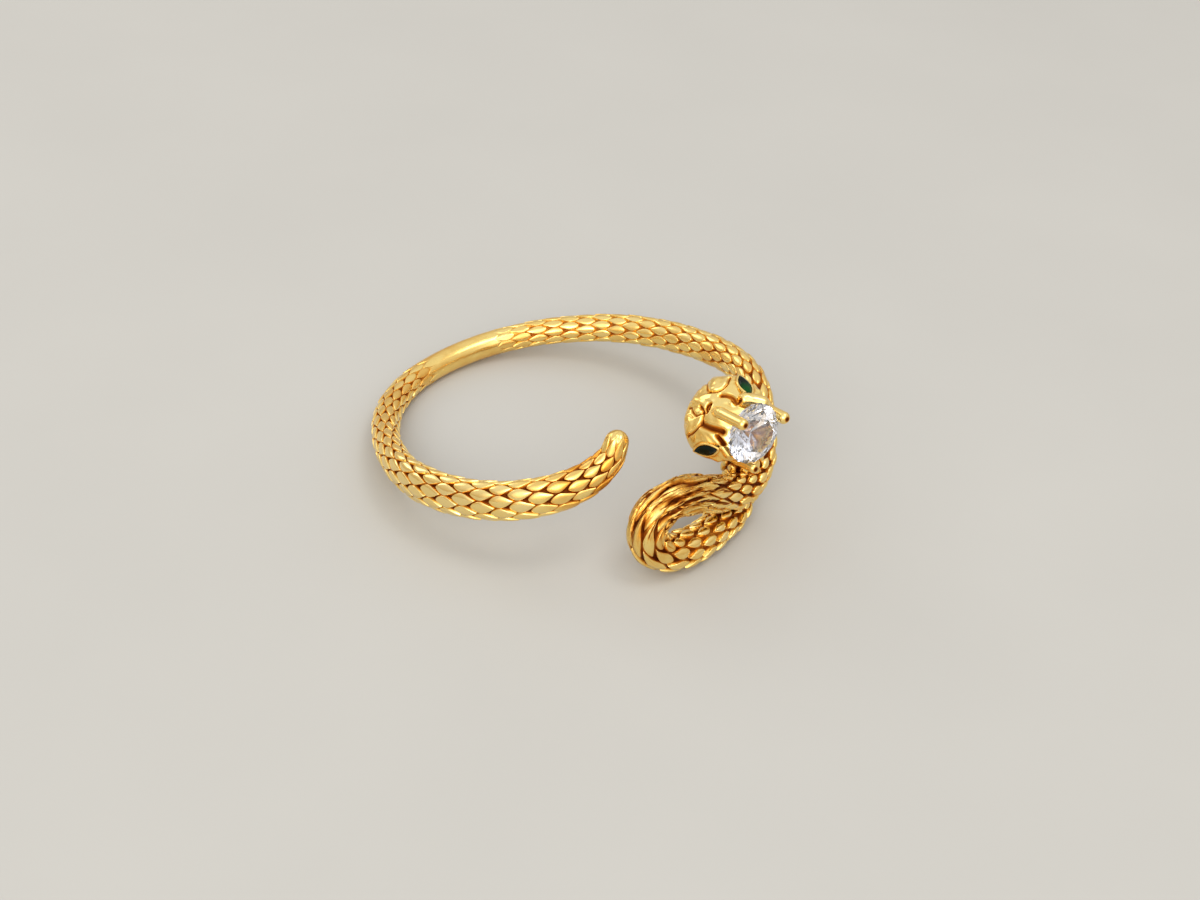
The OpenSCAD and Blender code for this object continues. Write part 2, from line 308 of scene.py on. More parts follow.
bodySettings = {
    "scalesRound": 9,
    "sideCuts": 3,          # extra points on each side of a scale's six-sided tile
    "gapDepth": 0.15,       # mm, from a scale's edge down to the gap
    "gapEdge": 0.02,        # mm above the gap, where a scale's side begins
    # rings of a tile inwards from the gap: share of the scale's outline, rise in mm
    "rings": ((0.985, 0.0), (0.955, 0.10), (0.91, 0.040), (0.85, 0.010), (0.45, 0.006)),
    # length and powers of the outline's rounded end, on the head's side, and of its pointed end
    "blunt": (0.86, 2.1, 0.56),
    "pointed": (1.0, 1.40, 0.88),
    "overlap": 0.034,       # mm, by which a scale's pointed end stands up and its rounded end lies down
    "dome": (0.030, 0.085), # mm, by which a scale swells in its middle: close set, and set wide apart
    "domeFoot": 0.75,       # squared distance, on a tile of radius 1, at which it stops swelling
    "wideSet": 0.20,        # share taken off a scale that is set wide apart
    "tileWeld": 0.002,      # rows, within which the tiles' edges are joined
    "bodyWeld": 0.003,      # mm, within which points of the wrapped body are joined
    "tipRise": 0.62,        # mm, length of the round tip
    "tipRows": 0.6,         # rows of scales that the tip takes
    "pastTip": 0.34,        # rows of the carpet that run past the tip

    # how scales differ by chance
    "seed": 7,
    "unevenness": 0.012,    # mm, in height
    # random share in how much painted shade each scale gets
    "unevenTone": 0.5,      # share, in how far they have darkened
    "unevenSize": 0.05,     # share
    "unevenPlace": 0.04,    # rows
    "unevenAlong": ((0, 22, 30, 80), (1.0, 1.0, 0.3, 0.3)),     # mm along the body, share that holds there

    # darkness of the painted shade in the gap at a scale's rounded end, at its pointed end and beside it,
    # and how far from the tile's corners the ends reach
    "darkness": (1.0, 0.55, 0.60),
    "roundedReach": (0.22, 0.62),
    "pointedReach": (0.2, 0.6),
    # a scale set this far apart gets painted shade all round its gap
    "openGap": 0.16,        # share taken off a scale whose gap is as dark all round
    # the painted shade on a gap's side fades upwards by this power
    "gapFade": 1.5,         # power by which a gap's side lightens upwards

    # the long ridges of the loop, and their waves: size, radians per mm along the body, waves round it
    "ridgesRound": 13,
    "grooveDepth": 0.30,    # mm
    "grooveForm": 2.5,      # power that narrows the grooves
    "ridgeRise": 0.03,      # mm
    "swayWaves": ((0.30, 1.1, 3), (0.14, 3.4, 5)),
    "meanDepth": 0.70,      # share of the grooves' depth, with a wave about it
    "depthWave": (0.30, 1.7, 5),
    "riseWave": (0.04, 2.3, 4),
    # where the rough folds of the metal begin, mm along the body, and their strength along it
    "foldsFrom": 12,
    "foldsAlong": ((13.5, 16, 19, 21), (0.15, 1, 1, 0)),
    "skinStretch": 0.13,    # of the folds' pattern along the body
}

# Columns: angle round the finger's axis, radius and height of the body's middle, half thickness along
# the radius, half thickness across it
bodyPath = [
    (-43.5, 10.45, 2.05, 0.85, 0.90),
    (-38.0, 10.15, 1.45, 0.92, 0.98),
    (-33.5, 10.30, 0.20, 0.96, 1.02),
    (-31.5, 10.25, -1.20, 0.98, 1.06),
    (-30.5, 10.00, -2.40, 0.94, 1.00),
    (-31.0, 9.80, -3.50, 0.90, 0.92),
    (-36.0, 9.80, -4.15, 0.88, 0.88),
    (-43.0, 9.90, -4.20, 0.90, 0.86),
    (-50.0, 10.00, -4.20, 0.93, 0.86),
    (-58.0, 10.10, -4.15, 0.96, 0.90),
    (-65.5, 10.20, -3.85, 1.00, 0.94),
    (-70.3, 10.30, -2.95, 1.00, 0.96),
    (-70.0, 10.30, -1.95, 1.00, 0.95),
    (-66.0, 10.20, -1.30, 1.00, 0.94),
    (-60.0, 10.20, -1.15, 1.00, 0.94),
    (-53.0, 10.20, -1.50, 0.97, 0.94),
    (-46.0, 10.30, -2.10, 0.93, 0.90),
    (-39.0, 10.40, -2.60, 0.90, 0.86),
    (-31.0, 10.50, -2.70, 0.88, 0.84),
    (-23.0, 10.55, -2.20, 0.82, 0.86),
    (-15.0, 10.40, -1.30, 0.76, 0.88),
    (-6.0, 10.25, -0.50, 0.74, 0.90),
    (4.0, 10.00, -0.10, 0.73, 0.89),
    (15.0, 9.65, 0.00, 0.72, 0.87),
    (30.0, 9.25, 0.00, 0.72, 0.85),
    (45.0, 9.05, 0.00, 0.72, 0.83),
    (60.0, 9.00, 0.00, 0.72, 0.80),
    (80.0, 9.05, 0.00, 0.72, 0.74),
    (100.0, 9.20, 0.00, 0.72, 0.70),
    (112.0, 9.30, 0.00, 0.71, 0.69),
    (124.0, 9.37, 0.00, 0.70, 0.68),
    (135.0, 9.42, 0.00, 0.70, 0.67),
    (147.0, 9.45, 0.00, 0.71, 0.67),
    (160.0, 9.35, 0.00, 0.72, 0.69),
    (180.0, 9.13, 0.00, 0.72, 0.84),
    (195.0, 9.07, 0.00, 0.72, 0.99),
    (210.0, 9.20, 0.00, 0.72, 1.06),
    (225.0, 9.30, 0.00, 0.72, 1.06),
    (240.0, 9.33, 0.00, 0.72, 1.03),
    (252.0, 9.30, 0.05, 0.72, 1.02),
    (262.0, 9.25, 0.20, 0.72, 0.99),
    (270.0, 9.15, 0.42, 0.72, 0.93),
    (278.0, 9.00, 0.80, 0.70, 0.82),
    (284.3, 8.88, 1.45, 0.64, 0.68),
    (287.0, 8.85, 2.15, 0.57, 0.59),
]

# Columns: distance along the body from inside the head, height of the scales, length from one scale to
# the next, share taken off a scale, darkness of the painted shade in the gaps, how far scales run into
# ridges, half length of a scale's tile, where a third is a plain six-sided one and a half a long diamond,
# and how much painted shade darkens the whole stretch
scaleStretches = [
    (0.0, 1.0, 2.40, 0.10, 0.80, 0.0, 0.34, 0.22),
    (1.5, 1.1, 2.00, 0.16, 0.80, 0.0, 0.34, 0.22),
    (3.5, 1.3, 1.40, 0.22, 0.80, 0.0, 0.34, 0.20),
    (7.5, 1.3, 1.50, 0.19, 0.74, 0.0, 0.34, 0.12),
    (9.0, 1.3, 1.80, 0.15, 0.68, 0.0, 0.34, 0.08),
    (11.5, 1.3, 1.80, 0.12, 0.68, 0.0, 0.34, 0.08),
    (13.0, 1.2, 2.10, 0.06, 0.95, 0.0, 0.35, 0.14),
    (14.5, 1.2, 2.30, 0.04, 1.15, 0.1, 0.37, 0.15),
    (15.6, 1.3, 2.30, 0.03, 1.45, 0.5, 0.44, 0.15),
    (16.6, 1.4, 2.40, 0.03, 1.45, 0.9, 0.46, 0.13),
    (17.8, 1.4, 2.40, 0.03, 1.3, 0.8, 0.46, 0.08),
    (19.0, 1.3, 2.20, 0.08, 1.05, 0.25, 0.44, 0.04),
    (20.2, 1.3, 1.70, 0.18, 0.85, 0.0, 0.38, 0.08),
    (21.5, 1.3, 1.50, 0.20, 0.80, 0.0, 0.34, 0.11),
    (24.0, 1.3, 1.55, 0.20, 0.80, 0.0, 0.34, 0.14),
    (26.5, 1.2, 1.70, 0.14, 0.80, 0.0, 0.34, 0.16),
    (31.0, 0.9, 1.85, 0.04, 0.6, 0.0, 0.35, 0.12),
    (44.5, 0.8, 1.95, 0.00, 0.5, 0.0, 0.35, 0.12),
    (47.0, 0.0, 1.95, 0.00, 0.0, 0.0, 0.34, 0.18),
    (47.5, 0.0, 4.50, 0.00, 0.0, 0.0, 0.34, 0.20),
    (50.5, 0.0, 4.50, 0.00, 0.0, 0.0, 0.34, 0.20),
    (51.0, 0.0, 1.95, 0.00, 0.0, 0.0, 0.34, 0.20),
    (53.5, 0.7, 1.95, 0.00, 0.6, 0.0, 0.35, 0.16),
    (59.5, 0.9, 1.95, 0.00, 0.95, 0.0, 0.36, 0.10),
    (63.5, 1.0, 1.92, 0.00, 1.0, 0.0, 0.365, 0.0),
    (70.0, 1.0, 1.87, 0.00, 1.0, 0.0, 0.365, 0.04),
    (72.3, 1.0, 1.85, 0.00, 1.1, 0.0, 0.365, 0.16),
    (73.6, 1.0, 1.75, 0.00, 1.5, 0.0, 0.365, 0.34),
    (75.0, 0.9, 1.64, 0.00, 1.2, 0.0, 0.36, 0.30),
    (76.4, 0.0, 1.60, 0.00, 0.0, 0.0, 0.34, 0.16),
    (80.0, 0.0, 1.60, 0.00, 0.0, 0.0, 0.34, 0.16),
]
scaleColumns = ("place", "height", "length", "taken", "darkness", "ridge", "half", "paintedShade")
scaleTable = np.array(scaleStretches)


def lookAt(name, s):
    return np.interp(s, scaleTable[:, 0], scaleTable[:, scaleColumns.index(name)])


def smoothCurve(rows, steps):
    rows = np.array(rows, dtype=float)
    padded = np.vstack([rows[0], rows, rows[-1]])
    made = []
    for i in range(len(rows) - 1):
        a, b, c, d = padded[i:i + 4]
        for t in np.arange(steps) / steps:
            made.append(0.5 * (2 * b + (c - a) * t + (2 * a - 5 * b + 4 * c - d) * t ** 2
                               + (3 * b - a - 3 * c + d) * t ** 3))
    made.append(rows[-1])
    return np.array(made)


def unitRows(rows):
    return rows / np.linalg.norm(rows, axis=1)[:, None]


class SnakePath:
    # The body's middle line with its own axes at each distance along it
    def __init__(self, rows, steps=24):
        fine = smoothCurve(rows, steps)
        turn = np.radians(fine[:, 0])
        self.middle = np.column_stack([fine[:, 1] * np.cos(turn), fine[:, 1] * np.sin(turn), fine[:, 2]])
        self.halves = fine[:, 3:5]
        gaps = np.linalg.norm(np.diff(self.middle, axis=0), axis=1)
        self.distance = np.concatenate([[0], np.cumsum(gaps)])
        self.length = self.distance[-1]
        along = unitRows(np.gradient(self.middle, self.distance, axis=0))
        radial = unitRows(self.middle * (1, 1, 0))
        outward = unitRows(radial - (radial * along).sum(1)[:, None] * along)
        self.axes = np.hstack([along, outward, np.cross(along, outward)])

    def read(self, table, s):
        return np.column_stack([np.interp(s, self.distance, column) for column in table.T])

    def at(self, s):
        axes = self.read(self.axes, s)
        return (self.read(self.middle, s), self.read(self.halves, s),
                unitRows(axes[:, 0:3]), unitRows(axes[:, 3:6]), unitRows(axes[:, 6:9]))


def scaleOutline(turn, s):
    # The outline of a scale about its middle: blunt towards the head and pointed towards the tail
    x = np.cos(turn)
    length, power, root = np.where(x > 0, np.array(s["pointed"])[:, None], np.array(s["blunt"])[:, None])
    y = np.sign(np.sin(turn)) * (1 - np.minimum(np.abs(x), 1) ** power) ** root
    return x * length, y * math.sin(math.radians(60))


def modelScale(s):
    # One six-sided tile: the gap at its edge, then a scale with steep sides and a flat top
    deselectAll()
    bpy.ops.mesh.primitive_circle_add(vertices=6, radius=1, fill_type="NGON",
                                      rotation=(0, 0, math.radians(30)))
    tile = bpy.context.object
    bpy.ops.object.transform_apply(location=False, rotation=True, scale=False)
    bpy.ops.object.mode_set(mode="EDIT")
    bpy.ops.mesh.select_all(action="SELECT")
    bpy.ops.mesh.subdivide(number_cuts=s["sideCuts"])
    bpy.ops.mesh.select_all(action="SELECT")
    bpy.ops.transform.translate(value=(0, 0, -s["gapDepth"]))
    # each ring is lifted by 1 to mark it, and shaped below
    for _ in s["rings"]:
        bpy.ops.mesh.inset(thickness=0.02, depth=0)
        bpy.ops.transform.translate(value=(0, 0, 1))
    bpy.ops.mesh.poke()
    bpy.ops.object.mode_set(mode="OBJECT")
    points = readPoints(tile)
    level = np.round(points[:, 2] + s["gapDepth"]).astype(int)
    turn = np.arctan2(points[:, 1], points[:, 0])
    x, y = scaleOutline(turn, s)
    middle = np.hypot(points[:, 0], points[:, 1]) < 1e-3
    height = -s["gapDepth"]
    for k, (share, rise) in enumerate(s["rings"], 1):
        height += rise
        points[level == k, 0] = (x * share)[level == k]
        points[level == k, 1] = (y * share)[level == k]
        points[level == k, 2] = height
    points[middle, :2] = 0
    # from a tile of radius 1 to rows and columns of the carpet
    points[:, 0] /= 3
    points[:, 1] *= 0.5 / math.cos(math.radians(30))
    writePoints(tile, points)
    return tile


def layCarpet(tile, rowCount, s):
    # Two sets of tiles, half a row and half a column apart, so that they fit like a honeycomb
    activate(tile)
    bpy.ops.object.duplicate()
    other = bpy.context.object
    other.location = (0.5, 0.5, 0)
    bpy.ops.object.transform_apply(location=True, rotation=False, scale=False)
    carpet = joinPieces([tile, other], "snakeBody")
    for count, step in ((rowCount, (1, 0, 0)), (s["scalesRound"], (0, 1, 0))):
        repeat = carpet.modifiers.new("repeat", "ARRAY")
        repeat.count = count
        repeat.use_relative_offset = False
        repeat.use_constant_offset = True
        repeat.constant_offset_displace = step
    applyModifiers(carpet)
    weld(carpet, s["tileWeld"])
    return carpet


def countRows(path, s):
    # The rows in each tenth of a millimetre, added up, and those of the tip
    steps = range(int(path.length * 10))
    return int(round(sum(0.1 / lookAt("length", 0.1 * k) for k in steps) + s["tipRows"]))


def placeRows(end):
    # The distance along the body at each eighth of a row
    places, rows = [0.0], [0.0]
    while places[-1] < end:
        places.append(places[-1] + lookAt("length", places[-1]) / 8)
        rows.append(rows[-1] + 1 / 8)
    return places, rows


# From rows and columns of the carpet to a tile of radius 1
tileReach = np.array([3, 2 * math.cos(math.radians(30))])


def scaleMiddles(flat):
    # The middle of the scale that each point of the carpet belongs to
    first = np.round(flat)
    second = np.round(flat - 0.5) + 0.5
    toFirst = (((flat - first) * tileReach) ** 2).sum(1)
    toSecond = (((flat - second) * tileReach) ** 2).sum(1)
    return np.where((toFirst <= toSecond)[:, None], first, second)


def wrapCarpet(carpet, rowCount, path, s):
    points = readPoints(carpet)
    places, rows = placeRows(path.length + s["tipRise"])
    stretch = rows[-1] / (rowCount - s["pastTip"])

    def alongAt(x):
        return np.interp(x * stretch, rows, places)

    # each point's own scale, with its chances, and the point's place on the tile
    centre = scaleMiddles(points[:, :2])
    chance = np.random.RandomState(s["seed"]).uniform(-1, 1, (2 * rowCount + 8, 2 * s["scalesRound"], 4))
    row = np.clip(np.round(centre[:, 0] * 2).astype(int) + 2, 0, 2 * rowCount + 7)
    column = np.round(centre[:, 1] * 2).astype(int) % (2 * s["scalesRound"])
    own = chance[row, column]
    along = alongAt(centre[:, 0])
    taken = lookAt("taken", along)
    rough = np.interp(along, *s["unevenAlong"])
    local = points[:, :2] - centre
    aside = np.abs(local[:, 1])
    tile = local * tileReach
    corners = [np.hypot(tile[:, 0] - math.cos(turn), tile[:, 1] - math.sin(turn))
               for turn in np.radians(range(0, 360, 60))]
    roundedEnd = np.interp(np.min(corners[1::2], axis=0), s["roundedReach"], [1, 0])
    pointedEnd = np.interp(np.min(corners[0::2], axis=0), s["pointedReach"], [1, 0])
    # off the tile's own border, which stays where it is
    inside = np.maximum(np.abs(local[:, 0]) * 1.5 + aside * 0.5, aside) <= 0.5 - 1e-4

    # the scale's own size and place, on a tile between a plain six-sided one and a long diamond
    half = lookAt("half", alongAt(points[:, 0]))
    local[:, 0] *= (half - aside * (4 * half - 1)) / ((1 - aside) / 3)
    local = local * np.where(inside, 1 - taken - s["unevenSize"] * rough * own[:, 0], 1)[:, None]
    local += np.where(inside, s["unevenPlace"] * rough, 0)[:, None] * own[:, 1:3] * (0.5, 1)
    flat = centre + local

    # the scale's own height, its lean and its swelling
    onScale = inside & (points[:, 2] > -s["gapDepth"] + s["gapEdge"])
    swelling = np.interp(taken, [0, s["wideSet"]], s["dome"]) * (s["domeFoot"] - (tile ** 2).sum(1))
    height = points[:, 2] + np.where(
        onScale, s["overlap"] * tile[:, 0] + s["unevenness"] * own[:, 3] * (1 + rough) + swelling, 0)

    # in the loop the scales give way to long ridges
    s1 = alongAt(np.clip(flat[:, 0], 0, rowCount))

    def wave(size, rate, count):
        return size * np.sin(rate * s1 + 2 * math.pi * count * flat[:, 1] / s["scalesRound"])

    ridge = lookAt("ridge", s1)
    sway = sum(wave(*each) for each in s["swayWaves"])
    fold = 0.5 - 0.5 * np.cos(2 * math.pi * (s["ridgesRound"] * flat[:, 1] / s["scalesRound"] + sway))
    deep = s["meanDepth"] + wave(*s["depthWave"])
    crest = s["ridgeRise"] - s["grooveDepth"] * fold ** s["grooveForm"] * deep + wave(*s["riseWave"])
    height = height * (1 - ridge) + crest * ridge

    # wrapped round the path and closed over the tip
    middle, halves, t, n, b = path.at(np.minimum(s1, path.length))
    tipTurn = np.clip((s1 - path.length) / s["tipRise"], 0, 1) * math.pi / 2
    middle = middle + t * (np.sin(tipTurn) * s["tipRise"])[:, None]
    size = np.cos(tipTurn) * (flat[:, 0] >= 0) * (tipTurn < math.pi / 2 - 1e-4)
    turn = 2 * math.pi * flat[:, 1] / s["scalesRound"]
    lift = height * lookAt("height", s1) * (size > 0)
    across = n * (np.cos(turn) * (halves[:, 0] * size + lift))[:, None]
    across += b * (np.sin(turn) * (halves[:, 1] * size + lift))[:, None]
    writePoints(carpet, middle + across)

    # what the material reads: painted shade and dark patina in the gaps and grooves with the painted shade
    # of each stretch, where it folds, and its place on the skin
    # painted shade and dark patina in the gaps and in the loop's grooves
    atEnd, atPoint, beside = s["darkness"]
    shade = beside + (atEnd - beside) * roundedEnd + (atPoint - beside) * pointedEnd
    shade = np.maximum(shade, np.clip(np.maximum(ridge, taken / s["openGap"]), 0, 1))
    depth = np.clip(-height / s["gapDepth"], 0, 1)
    depth = np.maximum(depth ** s["gapFade"], ridge * fold ** 2 * deep)
    paintedShade = lookAt("paintedShade", s1) * (1 + s["unevenTone"] * own[:, 3])
    paint(carpet, "shadeAndPatina", depth * shade * lookAt("darkness", s1) + paintedShade)
    paint(carpet, "ridges", np.interp(s1, *s["foldsAlong"]) * (s1 > s["foldsFrom"]))
    skin = carpet.data.attributes.new("skin", "FLOAT_VECTOR", "POINT")
    where = np.column_stack([s["skinStretch"] * s1, np.cos(turn), np.sin(turn)])
    skin.data.foreach_set("vector", where.astype(np.float32).ravel())
    weld(carpet, s["bodyWeld"])


snakePath = SnakePath(bodyPath)
bodyRows = countRows(snakePath, bodySettings)
body = layCarpet(modelScale(bodySettings), bodyRows, bodySettings)
wrapCarpet(body, bodyRows, snakePath, bodySettings)
seatPiece(body, ringFrame, gold, "gold", "snake_casting")
activate(body)
bpy.ops.object.shade_smooth()
print("body wrapped", len(body.data.polygons))


# Head: a loft with lobes and prongs, fused and then carved

headSettings = {
    "pointsRound": 48,
    "rings": 33,
    "boxiness": 0.92,       # power that makes the head's section a little square
    "voxel": 0.032,
    "smoothing": 8,         # rounds of relaxing before the carving
    "finish": 2,            # rounds after it
    "smoothAngle": 50,      # degrees, above which an edge stays sharp
    "strokeFacing": 0.3,    # how far the metal faces up where the strokes are at their full depth
    "unevenness": 0.014,    # mm, height of the slow waves that a cast and polished surface has

    # painted shade and dark patina: of the hollows that relaxing fills, of the strokes; and painted shade
    # over the whole side
    "cavityRounds": 30,
    "cavityDepth": 0.05,    # mm, of a hollow that is fully dark
    "cavityShade": 0.65,
    "strokeDepth": 0.20,    # mm, of a stroke that is fully dark
    "strokeForm": 1.3,
    "strokeShade": 0.75,
    "belowProng": 0.25,     # mm, from the upper prong down to the strokes' darkness
    # painted shade across the head, darker on its right side than on its left
    "sideShadeAcross": (-2.0, 0.6),   # mm aside, on the right and on the left
    "sideShade": (0.20, 0.08),

    # the dimple in a prong's end, painted dark as a painted reflection, in mm: its radius, depth, and place
    # inwards from the end
    "spotRadius": 0.16,
    "spotDepth": 0.03,
    "spotInset": 0.02,
}

# Columns: distance in front of the eyes, half width, height of the widest line, height of the top above
# it, depth of the bottom below it
headRows = [
    (-1.90, 0.45, 0.28, 0.20, 0.50),
    (-1.78, 0.95, 0.20, 0.48, 0.90),
    (-1.45, 1.50, 0.08, 0.78, 1.10),
    (-0.95, 1.92, -0.05, 0.98, 1.10),
    (-0.40, 2.12, -0.18, 1.10, 1.00),
    (0.15, 2.06, -0.30, 1.10, 0.92),
    (0.60, 1.90, -0.40, 1.00, 0.88),
    (1.00, 1.78, -0.48, 0.82, 0.82),
    (1.35, 1.52, -0.52, 0.56, 0.72),
]

# Sizes and places in mm, in the head's own frame
stoneSettings = {
    "diameter": 3.0,
    "forward": 1.85,
    "drop": 0.40,
    "gap": 0.03,
    # rings of the brilliant cut: reach and rise, as shares of its radius
    "table": (0.54, 0.34),
    "kites": (0.79, 0.21),
    "girdle": 0.03,
    "keel": (0.32, -0.62),
    "culet": -0.86,
}

prongSettings = {
    # degrees about the stone, distance from its axis, length in front of its girdle and behind it, diameter
    "upper": (180, 1.52, 0.55, 1.1, 0.58),
    "left": (60, 1.60, 0.38, 1.1, 0.62),
    "right": (300, 1.60, 0.38, 1.1, 0.50),
}

eyeSettings = {
    "length": 1.40,
    "width": 0.56,
    "forward": 0.36,
    "out": 1.78,
    "rise": 0.22,
    "turn": 58,             # degrees, by which the stone leans out from facing up
    "toe": 25,              # degrees, by which its front tip turns inwards
    "gap": 0.03,
    # rings of the marquise cut from its keel to its table: share of the outline, rise in mm
    "levels": ((0.35, -0.30), (1.0, -0.04), (1.0, 0.04), (0.80, 0.11), (0.50, 0.15)),
    "pointsAside": 8,
    # the wire round the stone, in mm: how far it lies out along the stone and across it, half thickness
    "rimOut": (0.06, 0.07),
    "rimWire": 0.065,
    "rimPoints": 24,
    # painted light in the stone: in its middle, gained towards its front tip, power by which it fades at
    # both tips
    "paintedGlow": (0.35, 0.8, 4),
}


def bowed(values, power):
    return np.sign(values) * np.abs(values) ** power


def modelSkull(s):
    # A ball whose rings are laid on the head's sections
    deselectAll()
    bpy.ops.mesh.primitive_uv_sphere_add(segments=s["pointsRound"], ring_count=s["rings"] + 1, radius=1,
                                         rotation=(0, math.radians(90), 0))
    skull = bpy.context.object
    bpy.ops.object.transform_apply(location=False, rotation=True, scale=False)
    points = readPoints(skull)
    rows = smoothCurve(headRows, steps=16)
    polar = np.arccos(np.clip(points[:, 0], -1, 1))
    share = np.clip(1 - (polar / math.pi * (s["rings"] + 1) - 1) / (s["rings"] - 1), 0, 1)
    pole = np.abs(points[:, 0]) > 1 - 1e-5
    at = np.column_stack([np.interp(share, np.linspace(0, 1, len(rows)), column) for column in rows.T])
    turn = np.arctan2(points[:, 2], points[:, 1])
    up = bowed(np.sin(turn), s["boxiness"])
    made = np.column_stack([
        at[:, 0],
        at[:, 1] * bowed(np.cos(turn), s["boxiness"]),
        at[:, 2] + up * np.where(up > 0, at[:, 3], at[:, 4]),
    ])
    made[pole, 1] = 0
    made[pole, 2] = at[pole, 2]
    writePoints(skull, made)
    return skull


def modelBar(start, end, startWidth, endWidth):
    # A rounded bar: a ball whose upper half is pulled away to the far end
    start, end = Vector(start), Vector(end)
    deselectAll()
    bpy.ops.mesh.primitive_uv_sphere_add(segments=20, ring_count=14, radius=startWidth / 2)
    bar = bpy.context.object
    points = readPoints(bar)
    far = points[:, 2] > 1e-4
    points[far] *= endWidth / startWidth
    points[far, 2] += (end - start).length
    writePoints(bar, points)
    lie = (end - start).to_track_quat("Z", "Y").to_matrix().to_4x4()
    bar.data.transform(Matrix.Translation(start) @ lie)
    return bar


upperRise = prongSettings["upper"][1] - stoneSettings["drop"]

# Rounded bars fused into the skull: start, end, width at each
skullBars = {
    "leftLip": ((0.98, 1.15, 0.38), (1.44, 1.44, -0.26), 0.72, 0.76),
    "rightLip": ((1.02, -1.24, 0.12), (1.30, -1.44, -0.28), 0.28, 0.38),
    "leftLid": ((-0.70, 1.88, -0.30), (0.70, 1.78, -0.42), 0.50, 0.46),
    "rightLid": ((-0.70, -1.88, -0.30), (0.70, -1.78, -0.42), 0.50, 0.46),
    "nape": ((-1.25, 0, 0.62), (-0.45, 0, 0.70), 0.70, 0.58),
}
prongBase = ((0.38, 0, upperRise - 0.16), (0.85, 0, upperRise), 0.50, 0.62)

# Strokes of the graver on the top of the head, seen from above: points, half width, depth. A negative
# depth raises the metal. The two sides differ, as on the cast ring
headStrokes = {
    "crownMiddle": ([(-1.20, 0.05), (-0.80, 0.25), (-0.50, 0.45)], 0.46, -0.10),
    "leftPlate": ([(-1.35, 1.42), (-1.00, 1.28), (-0.72, 0.98)], 0.36, -0.09),
    "rightPlate": ([(-1.28, -0.90), (-0.98, -1.05), (-0.88, -1.45)], 0.36, -0.09),
    "snoutRoof": ([(0.05, 0.0), (0.60, 0.0), (1.10, 0.0)], 0.62, -0.07),
    "leftBump": ([(0.56, 0.70), (0.66, 0.70)], 0.15, -0.07),
    "pit": ([(-0.30, 0.17), (-0.26, -0.20)], 0.16, 0.25),
    "leftGroove": ([(-0.10, 0.80), (0.18, 0.93), (0.44, 0.94), (0.70, 0.78)], 0.17, 0.13),
    "rightGroove": ([(-0.12, -0.84), (0.30, -0.80), (0.82, -0.68)], 0.25, 0.18),
    "leftScroll": ([(-0.55, 1.76), (-0.32, 1.46), (-0.28, 1.14), (-0.46, 0.82), (-0.76, 0.66)], 0.12, 0.13),
    "rightScroll": ([(-0.78, -0.12), (-0.44, -0.30), (-0.28, -0.66), (-0.33, -1.04), (-0.54, -1.38),
                     (-0.86, -1.64)], 0.12, 0.13),
    "leftSeam": ([(-0.76, 0.66), (-1.06, 0.74), (-1.36, 0.96), (-1.60, 1.02)], 0.11, 0.10),
    "rightSeam": ([(-0.44, -0.30), (-0.70, -0.60), (-1.05, -0.55), (-1.30, -0.40), (-1.50, -0.46)],
                  0.10, 0.10),
    "rightCurl": ([(-0.88, -0.78), (-1.06, -0.72), (-1.20, -0.82), (-1.16, -1.00)], 0.08, 0.05),
    "leftNostril": ([(0.84, 0.94), (1.00, 0.99)], 0.18, 0.26),
    "rightNostril": ([(0.72, -0.98), (1.06, -1.14)], 0.16, 0.20),
}


def prongLine(turn, reach):
    # Where a prong's axis crosses the head's frame: aside and up
    turn = math.radians(turn)
    return reach * math.sin(turn), -reach * math.cos(turn) - stoneSettings["drop"]


def modelProngs():
    prongs = []
    forward = stoneSettings["forward"]
    for turn, reach, over, back, width in prongSettings.values():
        y, z = prongLine(turn, reach)
        prongs.append(modelBar((forward - back, y, z), (forward + over, y, z), width, width))
    return prongs


def stonePoints(radius, cut):
    # Round brilliant cut along +Z: table, stars, kites, girdle and pavilion
    def ring(share, rise, offset, count=8):
        turns = [offset + k * math.tau / count for k in range(count)]
        return [Vector((share * radius * math.cos(turn), share * radius * math.sin(turn), rise * radius))
                for turn in turns]

    between = math.radians(22.5)
    points = (ring(*cut["table"], 0) + ring(*cut["kites"], between) + ring(1.0, cut["girdle"], 0, 16)
              + ring(1.0, -cut["girdle"], 0, 16) + ring(*cut["keel"], between)
              + [Vector((0, 0, cut["culet"] * radius))])
    faces = [tuple(range(8))]
    table, kite, upper, lower, keel, culet = 0, 8, 16, 32, 48, 56
    for k in range(8):
        after, before = (k + 1) % 8, (k - 1) % 8
        g, m, h = 2 * k, 2 * k + 1, (2 * k + 2) % 16
        faces += [
            (table + k, kite + k, table + after),
            (table + k, kite + before, upper + g, kite + k),
            (kite + k, upper + g, upper + m),
            (kite + k, upper + m, upper + h),
            (upper + g, lower + g, lower + m, upper + m),
            (upper + m, lower + m, lower + h, upper + h),
            (keel + k, lower + m, lower + g),
            (keel + k, lower + h, lower + m),
            (culet, keel + k, lower + g, keel + before),
        ]
    return points, faces


def makeMesh(name, points, faces):
    mesh = bpy.data.meshes.new(name)
    mesh.from_pydata([tuple(p) for p in points], [], faces)
    piece = addObject(name, mesh)
    activate(piece)
    bpy.ops.object.mode_set(mode="EDIT")
    bpy.ops.mesh.select_all(action="SELECT")
    bpy.ops.mesh.normals_make_consistent(inside=False)
    bpy.ops.object.mode_set(mode="OBJECT")
    return piece


def modelRoundStone(name, extra=0.0):
    points, faces = stonePoints(stoneSettings["diameter"] / 2 + extra, stoneSettings)
    return makeMesh(name, points, faces)


stoneInHead = Matrix.Translation((stoneSettings["forward"], 0, -stoneSettings["drop"])) @ Matrix.Rotation(
    math.radians(90), 4, "Y")


